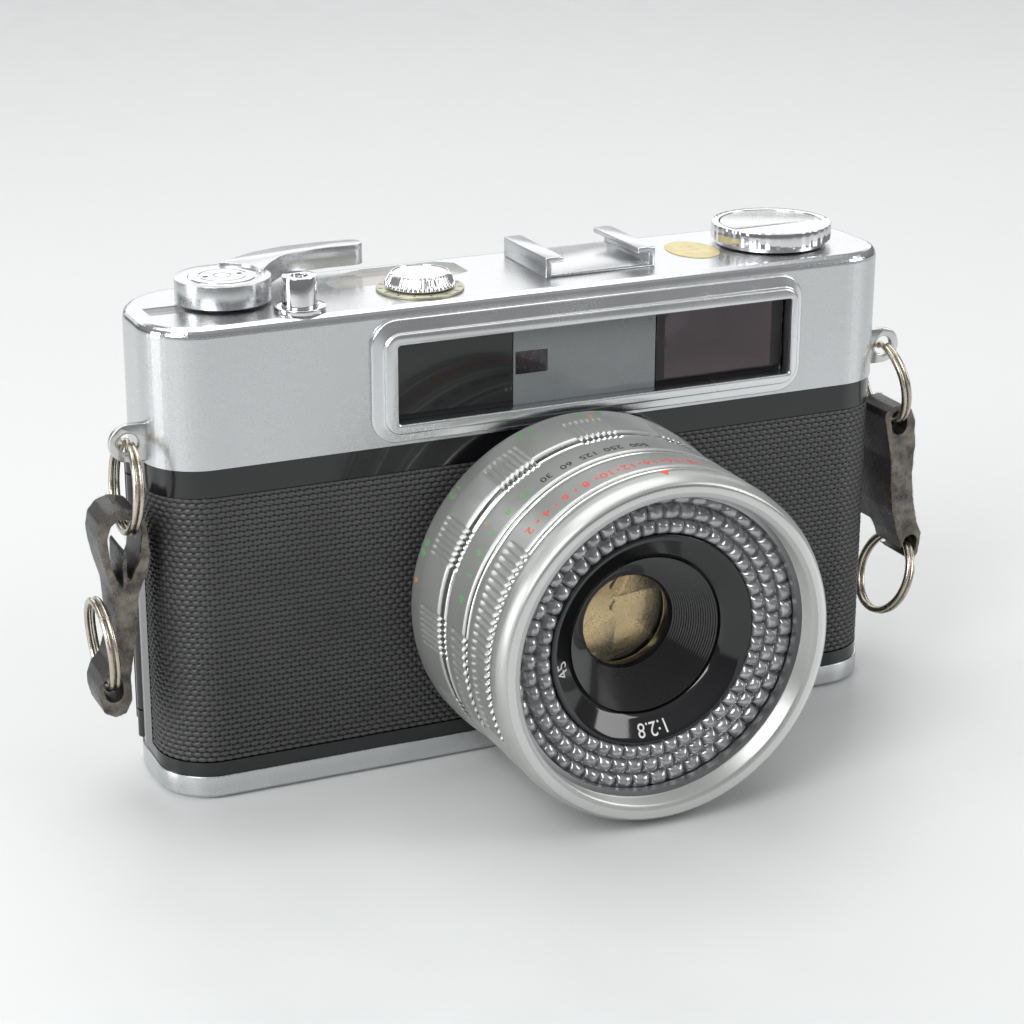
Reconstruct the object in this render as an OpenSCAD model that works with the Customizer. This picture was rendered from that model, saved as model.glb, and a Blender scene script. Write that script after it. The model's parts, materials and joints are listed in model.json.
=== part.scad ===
// 35 mm viewfinder camera with a fixed lens. Millimetres. +Z is up, the lens looks along -Y and +X is to
// the right of someone who faces the lens. The origin is the mouth of the tripod socket in the base.

/* [Body] */
// Width of the body between its two ends
body_w = 140; // [136:0.5:146]
// Depth of the body from the front face to the back
body_d = 29; // [29:0.5:31]
// Height of the top cover's flat top
body_top = 84.3; // [83:0.1:88]
// Corner radius at the front of the plan outline
front_r = 10; // [8:0.5:11]
// Corner radius at the back of the plan outline
rear_r = 12.5; // [11:0.5:13]
// Height of the base plate
base_h = 4.3; // [4:0.1:5]
// Lower edge of the leatherette
leather_z0 = 6.85; // [6:0.05:8]
// Upper edge of the leatherette
leather_z1 = 55.1; // [52:0.1:56]
// Lower edge of the top cover
cover_z = 60; // [59:0.1:60.5]
// Sheet thickness of the top cover
cover_t = 0.9; // [0.7:0.1:1.1]
// Edge radius round the top of the cover
edge_r = 1.8; // [1:0.1:2.5]
// Thickness of the leatherette
leather_t = 0.5; // [0.4:0.1:0.7]

/* [Tripod socket] */
// Radius of the 1/4 inch socket
socket_r = 3.2; // [3.18:0.01:3.25]
// Depth of the socket
socket_depth = 6; // [5:0.5:6.5]

/* [Lens] */
// Lens axis, from the middle of the body
lens_x = 4.35; // [3:0.05:6]
// Lens axis, above the base
lens_z = 31.5; // [31.3:0.1:32]
// Largest radius of the two front setting rings
ring_r = 30.7; // [30:0.1:30.9]
// Radius of the focus ring at its back
focus_r = 31.3; // [30.9:0.1:31.3]
// Radius of the front rim
rim_r = 29.5; // [29:0.1:30]
// Radius of the filter thread
filter_r = 26.9; // [26.5:0.1:27.2]

/* [Controls] */
// Centre of the advance lever
lever_x = -53; // [-54:0.5:-52]
// Radius of the advance lever's hub
lever_r = 8.2; // [7.5:0.1:8.5]
// Centre of the rewind knob
rewind_x = 52; // [51:0.5:53]
// Radius of the rewind knob
rewind_r = 10.9; // [10:0.1:11]
// Radius of the shutter release
release_r = 3; // [2.8:0.1:3.2]
// Centre of the film-speed dial
dial_x = -19.5; // [-21:0.5:-18]

/* [Strap fittings] */
// Distance of the strap lugs' holes from the middle of the body
strap_x = 72.8; // [72.6:0.1:73.4]
// Mean radius of a split ring
split_r = 7.6; // [7.4:0.1:7.8]

/* [Hidden] */
$fn = 72;

eps = 0.01;
gap = 0.3;                       // clearance between separate moving pieces
front_y = -body_d / 2;           // plane of the front face
skin = 0.3;                      // casting and leatherette sit this far inside the covers
strip_y = -1.8;                  // front edge of the black strip at the hinge end
split_y = 7.6;                   // the casting ends here and the back door begins
door_gap = 0.3;
door_z0 = base_h + door_gap;
door_z1 = cover_z - door_gap;
door_t = 1;
door_back = body_d / 2 - skin;   // outer face of the back door
deck_t = 3;                      // top deck and floor of the casting
hinge_x = -68.2;
hinge_y = 6.8;
hinge_r = 1.6;
pin_r = 0.7;
run_fit = 0.05;                  // radial clearance of a running fit

// Front windows, as [left, right, bottom, top]
frame_out = [-32.6, 50, 60.7, 82.3];
frame_in = [-28, 47.6, 64, 77.9];
plate_in = [-27.8, -5.8];
frost_in = [-5.6, 21.8];
finder_in = [22, 47.4];
small_in = [-5.2, 0.9, 69.4, 73.5];
window_y = front_y + 1.4;        // front of the glasses
window_t = 1;

// Top plate
shoe_x = 13.8;
shoe_y = 1.6;
release_x = -43;
release_y = -9.6;
dial_y = -4.9;
counter_x = -62;
counter_y = -0.8;
lever_y = 1;
hub_h = 4;
knob_z = body_top + gap;
knob_h = 3.7;
crank_t = 0.8;                   // thickness of the crank's plate
crank_line = 2.2;                // distance of the crank's hinge line in front of the centre
hub_z = body_top + 0.5;
needle_pivot = [-12, 7];
needle_z = body_top - 3;

// Film path
cassette_r = 12.9;
spool_x = -51;
sprocket_x = -29.5;
sprocket_y = 1.5;
gate_w = 36;
gate_h = 24;

// Lens, distances in front of the front face
focus_z = [2.8, 16.5];
speed_z = [16.85, 25.7];
apert_z = [25.95, 34.8];
front_z = [35, 39.4];
bearing_r = 26;
barrel_r = 27.5;
core_r = 23.5;
cell_r = [18.9, 26.6];

// Straps, right side: the left side's x values are negative
strap_y = -6.5;
lug_z = 64;
lug_r = 3.3;
lug_hole = 1.75;
wire_t = 1.3;                    // radial thickness of a split ring
wire_w = 2;                      // axial width of its two turns
upper_lean = [4.5, -8];          // angle of the upper rings about Y, left and right
lower_lean = [175.5, 20];        // the left lower ring stands up, the right one hangs
foot_left = [-78.3, 21.4];       // where the lower rings' wire passes through the tabs
foot_right = [78.8, 25.2];
tab_y = [-11, -2];               // front and back edge of the tabs
flap_y = 4;                      // back edge of the right tab's flap

function arc(c, r, a0, a1, n = 12) =
  [for (i = [0 : n]) let (a = a0 + (a1 - a0) * i / n) [c[0] + r * cos(a), c[1] + r * sin(a)]];
function round_rect(b, r, n = 8) =
  concat(arc([b[1] - r, b[2] + r], r, -90, 0, n), arc([b[1] - r, b[3] - r], r, 0, 90, n),
         arc([b[0] + r, b[3] - r], r, 90, 180, n), arc([b[0] + r, b[2] + r], r, 180, 270, n));
function capsule(p, q, r, n = 12) =
  let (t = atan2(q[1] - p[1], q[0] - p[0]))
  concat(arc(q, r, t - 90, t + 90, n), arc(p, r, t + 90, t + 270, n));
function scalloped(r, depth, count, n = 6) =
  [for (i = [0 : count * n - 1]) let (a = 360 * i / (count * n), d = depth * (1 - cos(a * count)) / 2)
    [(r - d) * cos(a), (r - d) * sin(a)]];

// Plan outline of the body, made smaller by inset
module outline(inset = 0) {
  w = body_w / 2 - inset;
  d = body_d / 2 - inset;
  rf = front_r - inset;
  rb = rear_r - inset;
  translate([-w + rf, -d]) square([2 * (w - rf), d]);
  translate([-w + rb, 0]) square([2 * (w - rb), d]);
  translate([-w, -d + rf]) square([2 * w, 2 * d - rf - rb]);
  for (s = [-1, 1]) {
    translate([s * (w - rf), -d + rf]) circle(rf);
    translate([s * (w - rb), d - rb]) circle(rb);
  }
}
// The part of the outline in front of y
module outline_front(inset, y) {
  intersection() {
    outline(inset);
    translate([-body_w, -body_d]) square([2 * body_w, body_d + y]);
  }
}
// The part of the outline behind y
module outline_rear(inset, y) {
  intersection() {
    outline(inset);
    translate([-body_w, y]) square([2 * body_w, body_d]);
  }
}
module slab(z0, z1) translate([0, 0, z0]) linear_extrude(z1 - z0) children();
// Extrudes a shape drawn in X and Z along Y, from y0 back to y1
module wall(y0, y1) translate([0, y1, 0]) rotate([90, 0, 0]) linear_extrude(y1 - y0) children();
// Lens frame: local Z runs forward from the front face along the lens axis
module on_axis() translate([lens_x, front_y, lens_z]) rotate([90, 0, 0]) children();
module tube(z0, z1, r_out, r_in) difference() {
  translate([0, 0, z0]) cylinder(r = r_out, h = z1 - z0);
  translate([0, 0, z0 - 1]) cylinder(r = r_in, h = z1 - z0 + 2);
}
module turned(points) rotate_extrude() polygon(points);
module upright(x, y, z0, z1, r) translate([x, y, z0]) cylinder(r = r, h = z1 - z0);
module brick(x, y, z) translate([x[0], y[0], z[0]]) cube([x[1] - x[0], y[1] - y[0], z[1] - z[0]]);

// Solid with the body's outline and a rounded top edge
module rounded_cap(z0, z1, r) {
  w = body_w / 2;
  d = body_d / 2;
  hull() for (s = [-1, 1], c = [[front_r, -1], [rear_r, 1]])
    translate([s * (w - c[0]), c[1] * (d - c[0]), z0])
      rotate_extrude($fn = 64)
        polygon(concat([[0, 0], [c[0], 0]], arc([c[0] - r, z1 - z0 - r], r, 0, 90, 6), [[0, z1 - z0]]));
}

/* ---- Casing ---- */

module body_casting() color("#1d1d1f") difference() {
  union() {
    slab(base_h, leather_z0) outline_front(skin, split_y);
    slab(leather_z0 - eps, leather_z1 + eps) outline_front(skin + leather_t, split_y);
    slab(leather_z1, cover_z) outline_front(skin, split_y);
    // black strip that carries the hinge
    slab(leather_z0 - eps, leather_z1 + eps) intersection() {
      outline_front(skin, split_y);
      translate([-body_w, strip_y]) square([body_w - 60, body_d]);
    }
    // fixed knuckles of the hinge
    upright(hinge_x, hinge_y, door_z0, 9.7, hinge_r);
    upright(hinge_x, hinge_y, 54.3, door_z1, hinge_r);
    // film rails round the gate
    brick([lens_x - 22, lens_x + 22], [split_y - 1, split_y + 2.4], [lens_z - 17, lens_z + 17]);
  }
  // cassette chamber, with its way out to the back
  upright(rewind_x, 0.5, base_h + deck_t, cover_z - deck_t, cassette_r);
  brick([rewind_x - cassette_r, rewind_x + cassette_r - 1.4], [0.5, split_y + 1],
        [base_h + deck_t, cover_z - deck_t]);
  upright(rewind_x, 0, cover_z - deck_t - 1, cover_z + 1, 4.3);
  // take-up chamber
  upright(spool_x, 0.5, base_h + deck_t, cover_z - deck_t, 11);
  brick([spool_x - 10.2, spool_x + 11], [0.5, split_y + 1], [base_h + deck_t, cover_z - deck_t]);
  // sprocket chamber
  upright(sprocket_x, sprocket_y, base_h + deck_t, cover_z - deck_t, 6.8);
  brick([sprocket_x - 6.8, sprocket_x + 6.8], [sprocket_y, split_y + 1],
        [base_h + deck_t, cover_z - deck_t]);
  // bearings of the spool, sprocket and lever shafts in the deck and floor
  upright(spool_x, 0.5, base_h - 1, cover_z + 1, 2 + run_fit);
  upright(sprocket_x, sprocket_y, base_h - 1, cover_z + 1, 2 + run_fit);
  // film gate and the well behind the lens
  brick([lens_x - gate_w / 2, lens_x + gate_w / 2], [-3, split_y + 4],
        [lens_z - gate_h / 2, lens_z + gate_h / 2]);
  on_axis() translate([0, 0, -12]) cylinder(r = 17.4, h = 20);
  // tripod bush and base screws
  upright(0, 0, base_h - 1, 8.2, 5.5);
  for (x = [-60, 60]) upright(x, 0, base_h - 1, base_h + 2.52, 1.2);
  // clearance for the moving knuckle and the bore of the pin
  upright(hinge_x, hinge_y, 9.7, 54.3, hinge_r + 0.45);
  upright(hinge_x, hinge_y, base_h - 1, cover_z + 1, pin_r);
}

module top_cover() color("#c9cbcc") difference() {
  rounded_cap(cover_z, body_top, edge_r);
  slab(cover_z - 1, body_top - 1.2) outline(cover_t);
  // front window opening
  wall(front_y - 1, front_y + 3) polygon(round_rect([frame_in[0] - 1, frame_in[1] + 1,
                                                     frame_in[2] - 1, frame_in[3] + 1], 1.5));
  // eyepiece
  translate([34.5, body_d / 2 - 2, 71]) rotate([-90, 0, 0]) cylinder(r = 4.6, h = 4);
  // lever, release, dial, counter and rewind openings
  upright(lever_x, lever_y, body_top - 2, body_top + 1, 4);
  upright(release_x, release_y, body_top - 2, body_top + 1, release_r + 0.7);
  upright(dial_x, dial_y, body_top - 2, body_top + 1, 2.2);
  slab(body_top - 2, body_top + 1) polygon(counter_shape(0));
  slab(body_top - 2, body_top + 1) polygon(meter_shape(0));
  upright(rewind_x, 0, body_top - 2, body_top + 1, 4.3);
}

function counter_shape(inset) =
  [[-67 + inset, -3 + inset], [-60.9 - inset, -3.2 + inset], [-60.9 - inset, 1.8 - inset],
   [-67 + inset, 1.8 - inset]];
function meter_shape(inset) =
  [[-33 + inset, 0.6 + inset], [-28 + inset / 2, 0.6 + inset], [-12 - inset / 2, 0.6 + inset],
   [-7 - inset, 3 + inset], [-7 - inset, 9.6 - inset], [-10 - inset / 2, 12 - inset],
   [-24 + inset / 2, 12 - inset], [-33 + inset, 8.4 - inset]];

module base_plate() color("#c4c6c8") difference() {
  hull() {
    slab(0, 0.1) outline(0.8);
    slab(0.9, base_h) outline(0);
  }
  slab(1, base_h + 1) outline(1);
  upright(0, 0, -1, 2, 5.5);
  upright(-38, 4, -1, 2, 2.8);
  for (x = [-60, 60]) {
    upright(x, 0, -1, 0.6, 2.2);
    upright(x, 0, -1, 2, 1.25);
  }
}
module tripod_socket() color("#a8a9ab") difference() {
  upright(0, 0, 0, 8, 5.5);
  upright(0, 0, -1, socket_depth, socket_r);
}
module leatherette_front() color("#232324") difference() {
  slab(leather_z0, leather_z1) difference() {
    outline_front(skin, split_y);
    outline_front(skin + leather_t, split_y + 1);
    translate([-body_w, strip_y]) square([body_w - 60, body_d]);
  }
  on_axis() translate([0, 0, -4]) cylinder(r = 28, h = 8);
}
module case_screws() color("#b5b6b8") for (x = [-60, 60]) difference() {
  union() {
    upright(x, 0, 0.1, 0.6, 2.15);
    upright(x, 0, 0.5, base_h + 2.5, 1.2);
  }
  brick([x - 3, x + 3], [-0.3, 0.3], [0, 0.35]);
}

/* ---- Front windows and finder ---- */

module window_frame() color("#d6d8d9") difference() {
  union() {
    wall(front_y - 0.9, front_y) polygon(round_rect(frame_out, 4.6));
    wall(front_y - 1.6, front_y - 0.8) polygon(round_rect([frame_out[0] + 2.2, frame_out[1] - 1,
                                                           frame_out[2] + 1.6, frame_out[3] - 2.4], 3));
    wall(front_y - eps, window_y) polygon(round_rect([frame_in[0] - 0.9, frame_in[1] + 0.9,
                                                           frame_in[2] - 0.9, frame_in[3] + 0.9], 1.4));
  }
  wall(front_y - 3, front_y + 3) polygon(round_rect(frame_in, 0.6));
}
module pane(x0, x1, z0, z1, t = window_t) brick([x0, x1], [window_y, window_y + t], [z0, z1]);
module name_plate() color("#0d0d0e") pane(plate_in[0], plate_in[1], frame_in[2] - 0.6, frame_in[3] + 0.6);
module frosted_window() color("#9aa0a2", 0.8) difference() {
  pane(frost_in[0], frost_in[1], frame_in[2] - 0.6, frame_in[3] + 0.6);
  wall(window_y - 1, window_y + 3) square_box(small_in);
}
module square_box(b) translate([b[0], b[2]]) square([b[1] - b[0], b[3] - b[2]]);
module rangefinder_window() color("#2a2a30", 0.6)
  pane(small_in[0] + 0.05, small_in[1] - 0.05, small_in[2] + 0.05, small_in[3] - 0.05, 0.8);
module viewfinder_window() color("#503a52", 0.5)
  pane(finder_in[0], finder_in[1], frame_in[2] - 0.6, frame_in[3] + 0.6);
module finder_housing() color("#2b2320") difference() {
  brick([finder_in[0] - 0.2, finder_in[1] + 0.2], [window_y + window_t, body_d / 2 - 1.6],
        [cover_z, frame_in[3] + 2]);
  // mask and tunnel behind the window
  brick([finder_in[0] + 2, finder_in[1] - 2], [window_y, 6], [frame_in[2] + 1, frame_in[3] - 1]);
  translate([34.5, 4, 71]) rotate([-90, 0, 0]) cylinder(r = 4, h = 12);
}
module eyepiece_frame() color("#1a1a1b") translate([34.5, body_d / 2 - 1.5, 71]) rotate([-90, 0, 0])
  difference() {
    union() {
      cylinder(r = 4.5, h = 2.2);
      translate([0, 0, 1.5]) cylinder(r = 5.6, h = 1.3);
    }
    translate([0, 0, -1]) cylinder(r = 3.6, h = 5);
  }
module eyepiece_lens() color("#88909a", 0.5) translate([34.5, body_d / 2 - 0.6, 71]) rotate([-90, 0, 0])
  cylinder(r = 3.6, h = 1.2);

/* ---- Top plate ---- */

module meter_window() color("#c8ccc8", 0.5) slab(body_top - 0.9, body_top)
  polygon(meter_shape(0));
module meter_movement() color("#d8d8d2") difference() {
  brick([-34, -6], [-1, 13], [cover_z, body_top - 1.5]);
  brick([-32.5, -7.5], [0.4, 11.8], [needle_z - 1.2, body_top]);
  brick([-32.5, -15], [0.4, 11.8], [cover_z + 3, needle_z - 2.4]);
  upright(needle_pivot[0], needle_pivot[1], needle_z - 4, needle_z + 4, 0.6 + run_fit);
}
module meter_needle() color("#c03020") {
  upright(needle_pivot[0], needle_pivot[1], needle_z - 3.5, needle_z + 0.8, 0.6);
  slab(needle_z - 0.2, needle_z + 0.3) polygon([[-12, 6.4], [-12, 7.6], [-27, 7.15], [-27, 6.85]]);
}
module counter_window() color("#d0d6d6", 0.5) slab(body_top - 0.9, body_top - 0.1)
  polygon(counter_shape(0));
module frame_counter_disc() color("#e8e8e4") {
  upright(counter_x, counter_y, body_top - 2.6, body_top - 1.9, 6.2);
  upright(counter_x, counter_y, body_top - 8, body_top - 2.5, 1.2);
}
module release_collar() color("#c8cacb") translate([release_x, release_y, 0]) difference() {
  union() {
    upright(0, 0, body_top - 1.2, body_top + 0.3, release_r + 0.65);
    upright(0, 0, body_top, body_top + 0.9, release_r + 1.4);
  }
  upright(0, 0, body_top - 3, body_top + 3, release_r + run_fit);
}
module release_button() color("#d9dbdc") translate([release_x, release_y, 0]) difference() {
  union() {
    upright(0, 0, body_top - 4, body_top + 6, release_r);
    upright(0, 0, body_top - 12, body_top - 3.9, 1.5);
  }
  upright(0, 0, body_top + 1, body_top + 7, 1.4);
}
module dial_ring() color("#b9b48a") difference() {
  upright(dial_x, dial_y, body_top, body_top + 0.45, 7.6);
  upright(dial_x, dial_y, body_top - 1, body_top + 1, 2.2);
}
module film_speed_dial() color("#dadcdd") translate([dial_x, dial_y, body_top])
  turned([[0, -4], [2.1, -4], [2.1, 0.7], [6.15, 0.75], [6.15, 1.4], [5.15, 3.1], [4.95, 3.1], [4.85, 2.95],
          [0, 2.95]]);
module accessory_shoe() color("#cfd1d2") {
  w = 10.65;
  y = [shoe_y - 9, shoe_y + 9];
  brick([shoe_x - w, shoe_x + w], y, [body_top, body_top + 0.6]);
  for (s = [-1, 1]) {
    brick([shoe_x + s * w - (s > 0 ? 1.2 : 0), shoe_x + s * w + (s > 0 ? 0 : 1.2)], y,
          [body_top, body_top + 3.6]);
    brick([shoe_x + s * w - (s > 0 ? 3.4 : 0), shoe_x + s * w + (s > 0 ? 0 : 3.4)], y,
          [body_top + 2.6, body_top + 3.6]);
  }
}
module inspection_sticker() color("#cdc07a") slab(body_top, body_top + 0.12)
  translate([36, 0.5]) polygon([for (i = [0 : 35]) [4.5 * cos(i * 10), 6.5 * sin(i * 10)]]);

/* ---- Film transport ---- */

function lever_edge() = concat(
  [[-52, 7], [-48.5, 9.6], [-44, 12.4], [-38, 14.3], [-31, 14.6], [-25.6, 14.2]],
  arc([-25.8, 12.1], 2.1, 80, -90, 6),
  [[-31, 10.2], [-36.5, 9.6], [-40.5, 7.4], [-43.8, 3.6], [-46, 0]]);
module advance_lever() color("#d2d4d5") difference() {
  union() {
    upright(lever_x, lever_y, hub_z, hub_z + hub_h, lever_r);
    slab(hub_z + 0.9, hub_z + hub_h + 0.6) difference() {
      polygon(lever_edge());
      translate([lever_x, lever_y]) circle(6.4);
    }
    upright(lever_x, lever_y, body_top - 1.2, hub_z + eps, 3.9);
    upright(lever_x, lever_y, body_top - 12, body_top - 1.1, 2.5);
  }
  upright(lever_x, lever_y, hub_z + hub_h - 1, hub_z + hub_h + 2, 5.9);
}
module lever_cap() color("#cfd1d3") difference() {
  upright(lever_x, lever_y, hub_z + hub_h - 1, hub_z + hub_h + 0.1, 5.85);
  for (s = [-1, 1]) upright(lever_x + s * 3, lever_y, hub_z + hub_h - 0.5, hub_z + hub_h + 1, 0.55);
}
module sprocket_shaft() color("#8b8c8e") translate([sprocket_x, sprocket_y, 0]) {
  upright(0, 0, base_h + 0.4, cover_z - 0.4, 2);
  for (z = [lens_z - 15.8, lens_z + 11.8]) slab(z, z + 4) union() {
    circle(4.6);
    for (i = [0 : 7]) rotate(i * 45) translate([4, -0.7]) square([1.7, 1.4]);
  }
  upright(0, 0, lens_z - 15, lens_z + 15, 3.6);
}
module take_up_spool() color("#2c2c2e") translate([spool_x, 0.5, 0]) difference() {
  union() {
    upright(0, 0, base_h + 0.4, cover_z - 0.4, 2);
    upright(0, 0, 10, 53, 6);
    for (z = [11, 50.6]) upright(0, 0, z, z + 1.4, 9);
  }
  // slots that take the film's tongue
  for (a = [0 : 60 : 120]) rotate(a) brick([-7, 7], [-0.7, 0.7], [16, 46]);
}
module rewind_bush() color("#b8babb") tube_at(rewind_x, 0, cover_z - deck_t, body_top - 0.2, 4.2, 3.05);
module tube_at(x, y, z0, z1, r_out, r_in) translate([x, y, 0]) tube(z0, z1, r_out, r_in);
module rewind_fork() color("#a5a6a8") {
  upright(rewind_x, 0, cover_z - deck_t - 3, body_top + 1.3, 3);
  difference() {
    upright(rewind_x, 0, cover_z - deck_t - 8.5, cover_z - deck_t - 2.9, 2.4);
    brick([rewind_x - 3, rewind_x + 3], [-0.8, 0.8], [0, cover_z - deck_t - 3.6]);
  }
}
module crank_plan(r, front) difference() {
  circle(r);
  translate([-10, -20 - crank_line - front]) square([20, 20]);
}
module rewind_knob() color("#d5d7d8") difference() {
  union() {
    slab(knob_z, knob_z + 0.9) translate([rewind_x, 0]) circle(rewind_r - 0.8);
    slab(knob_z + 0.8, knob_z + knob_h) translate([rewind_x, 0]) polygon(scalloped(rewind_r, 0.15, 36));
  }
  upright(rewind_x, 0, knob_z - 1, knob_z + 1, 3);
  slab(knob_z + knob_h - 1.05, knob_z + knob_h + 1) translate([rewind_x, 0]) crank_plan(9.5, 0.9);
  upright(rewind_x, 5, knob_z + 1.2, knob_z + knob_h, 2.9);
}
module rewind_crank() color("#dcdedf") {
  slab(knob_z + knob_h - crank_t - 0.1, knob_z + knob_h - 0.1) translate([rewind_x, 0]) crank_plan(9.3, 0);
  upright(rewind_x, 5, knob_z + 1.5, knob_z + knob_h - 0.8, 2.5);
}
module rewind_release() color("#c9cbcc") {
  upright(-38, 4, 0.35, 2.6, 2.5);
  upright(-38, 4, 1.2, 2, 3.6);
}

/* ---- Back ---- */

module back_door() color("#1b1b1c") difference() {
  union() {
    slab(door_z0, door_z1) outline_rear(skin, split_y + door_gap);
    upright(hinge_x, hinge_y, 10, 54, hinge_r);
  }
  slab(door_z0 + door_t, door_z1 - door_t) intersection() {
    outline(skin + leather_t + door_t);
    translate([-body_w, split_y - 3]) square([2 * body_w, body_d]);
  }
  // recess for the leatherette
  slab(leather_z0, leather_z1) difference() {
    outline_rear(0, split_y + 2.4);
    outline(skin + leather_t);
  }
  upright(hinge_x, hinge_y, 9, 55, pin_r + run_fit);
  // clearance round the fixed knuckles
  upright(hinge_x, hinge_y, door_z0 - 1, 10, hinge_r + 0.4);
  upright(hinge_x, hinge_y, 54, door_z1 + 1, hinge_r + 0.4);
}
module leatherette_back() color("#232324") slab(leather_z0 + 0.02, leather_z1 - 0.02) difference() {
  outline_rear(skin, split_y + 2.45);
  outline(skin + leather_t);
}
module pressure_plate() color("#2a2a2c") {
  brick([lens_x - 24, lens_x + 24], [10.25, 11.05], [lens_z - 17.5, lens_z + 17.5]);
  // leaf spring between the plate and the door
  brick([lens_x - 16, lens_x + 16], [11.04, door_back - door_t - leather_t],
        [lens_z - 3, lens_z + 3]);
}
module hinge_pin() color("#9a9b9d") upright(hinge_x, hinge_y, door_z0 + 0.1, door_z1 - 0.1, pin_r);
module door_latch() color("#b9bbbd") {
  brick([body_w / 2 - skin + 0.05, body_w / 2 + 0.8], [3.2, 6.2], [26, 36]);
}

/* ---- Lens ---- */

module lens_mount() color("#8c8d8f") on_axis() {
  difference() {
    union() {
      translate([0, 0, -skin]) cylinder(r = 27.1, h = 2.6 + skin);
      translate([0, 0, -skin - leather_t]) cylinder(r = 23, h = 1);
      translate([0, 0, 2]) cylinder(r = bearing_r, h = 11.6);
      translate([0, 0, -11]) cylinder(r = 17.3, h = 12);
    }
    translate([0, 0, 1]) cylinder(r = core_r + run_fit, h = 20);
    translate([0, 0, -12]) cylinder(r = 15.5, h = 20);
  }
}
module focus_ring() color("#bcbdbb") on_axis() turned([
  [bearing_r + run_fit, focus_z[0] + 0.2], [focus_r - 0.5, focus_z[0]], [focus_r, focus_z[0] + 0.6],
  [focus_r, 7], [ring_r, 13.6], [ring_r - 0.5, 14], [ring_r - 0.1, 14.4], [ring_r - 0.1, focus_z[1] - 0.4],
  [ring_r - 0.5, focus_z[1]], [28.8, focus_z[1]], [28.8, 12], [bearing_r + run_fit, 12]]);
module lens_barrel() color("#9fa1a3") on_axis() turned([
  [core_r, 3], [core_r, 17], [26.4, 17], [26.4, 14], [28.5, 14], [28.5, speed_z[0] - 0.2],
  [barrel_r, speed_z[0] - 0.2], [barrel_r, front_z[0] + 0.8], [26, front_z[0] + 0.8],
  [26, 34.3], [26.7, 34.2], [26.7, 31.5],
  [24.5, 31.5], [24.5, 20], [9.2, 20], [9.2, 15], [21.5, 15], [21.5, 5], [12, 5], [12, 3]]);
module setting_ring(z, lip) turned([
  [barrel_r + run_fit, z[0]], [ring_r - 0.4, z[0]], [ring_r - 0.1, z[0] + 0.3],
  [ring_r - 0.1, z[1] - lip - 0.4], [ring_r - 0.6, z[1] - lip], [ring_r - 0.2, z[1] - lip + 0.3],
  [ring_r - 0.2, z[1] - 0.4], [ring_r - 0.5, z[1]], [barrel_r + run_fit, z[1]]]);
module speed_ring() color("#c4c5c6") on_axis() setting_ring(speed_z, 1.4);
module aperture_ring() color("#c4c5c6") on_axis() setting_ring(apert_z, 1.2);
module front_ring() color("#cfd0d1") on_axis() turned([
  [barrel_r, front_z[0]], [ring_r - 0.3, front_z[0]], [ring_r - 0.1, front_z[0] + 0.4],
  [ring_r - 0.3, 37.4], [rim_r + 0.2, 39], [rim_r - 0.2, front_z[1]], [filter_r + 0.3, front_z[1]],
  [filter_r, front_z[1] - 0.3], [filter_r, front_z[0] + 0.8], [barrel_r, front_z[0] + 0.8]]);
module bubble_glass() color("#8a8e90", 0.7) on_axis() tube(32.2, 34.2, cell_r[1], 18.75);
module selenium_cell() color("#2a2624") on_axis() tube(31.5, 32.2, cell_r[1] - 0.1, cell_r[0]);
module name_ring() color("#0c0c0d") on_axis() turned([
  [18.7, 31.5], [18.7, 33.4], [18.2, 33.4], [14, 30.7], [14, 29.9], [17.3, 31.5]]);
module cone_baffle() color("#161617") on_axis() turned(concat(
  [[8.5, 20], [24.3, 20], [24.3, 23], [15.6, 26], [17.3, 31.5], [14, 29.87], [13.8, 30.6]],
  [for (i = [0 : 11]) for (k = [0, 1]) [13.4 - i * 0.45 - k * 0.25, 30.2 - i * 0.55 + (k - 1) * 0.3]],
  [[8.1, 23.4], [8.1, 22.6], [8.5, 22.6]]));
module front_element() color("#b59a66", 0.6) on_axis() turned(concat(
  [[0, 20.4], [8.5, 20.4]], [for (i = [0 : 8]) let (k = 1 - i / 8) [8.5 * k, 22.5 - 1.6 * k * k]]));
module rear_element() color("#8090a0", 0.6) on_axis() translate([0, 0, 3.1]) cylinder(r = 12, h = 1.8);
module shutter_blades() color("#3a3a3c") on_axis() for (i = [0 : 4]) rotate(i * 72)
  translate([0, 0, 16.2 + i * 0.35]) linear_extrude(0.2)
    polygon(concat([[0.9, -0.7]], arc([0, 0], 9.2, -36, 36, 8), [[-0.7, 0.9]]));

/* ---- Strap fittings, s is -1 on the left and 1 on the right ---- */

module lug(s) difference() {
  translate([0, strap_y + 0.6, 0]) rotate([90, 0, 0]) linear_extrude(1.2) union() {
    translate([s * strap_x, lug_z]) circle(lug_r);
    translate([s > 0 ? body_w / 2 - 0.4 : -strap_x, lug_z - lug_r])
      square([strap_x - body_w / 2 + 0.4, 2 * lug_r]);
  }
  translate([s * strap_x, strap_y + 3, lug_z]) rotate([90, 0, 0]) cylinder(r = lug_hole, h = 6);
}
module strap_lug_left() color("#b9bbbd") lug(-1);
module strap_lug_right() color("#b9bbbd") lug(1);
// Split ring of two turns whose wire passes through the point p, turned by angle about Y
module split_ring(p, angle) translate([p[0], strap_y, p[1]]) rotate([0, angle, 0])
  translate([0, 0, -split_r]) rotate([0, 90, 0])
    rotate_extrude() translate([split_r - wire_t / 2, -wire_w / 2]) square([wire_t, wire_w]);
module upper_ring_left() color("#b0aba0") split_ring([-strap_x, lug_z], upper_lean[0]);
module upper_ring_right() color("#b0aba0") split_ring([strap_x, lug_z], upper_lean[1]);
module lower_ring_left() color("#b0aba0") split_ring(foot_left, lower_lean[0]);
module lower_ring_right() color("#b0aba0") split_ring(foot_right, lower_lean[1]);
// Drawn in X and Z, extruded from the front edge to the back edge
module leather(y0, y1) translate([0, y1, 0]) rotate([90, 0, 0]) linear_extrude(y1 - y0) children();
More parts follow.
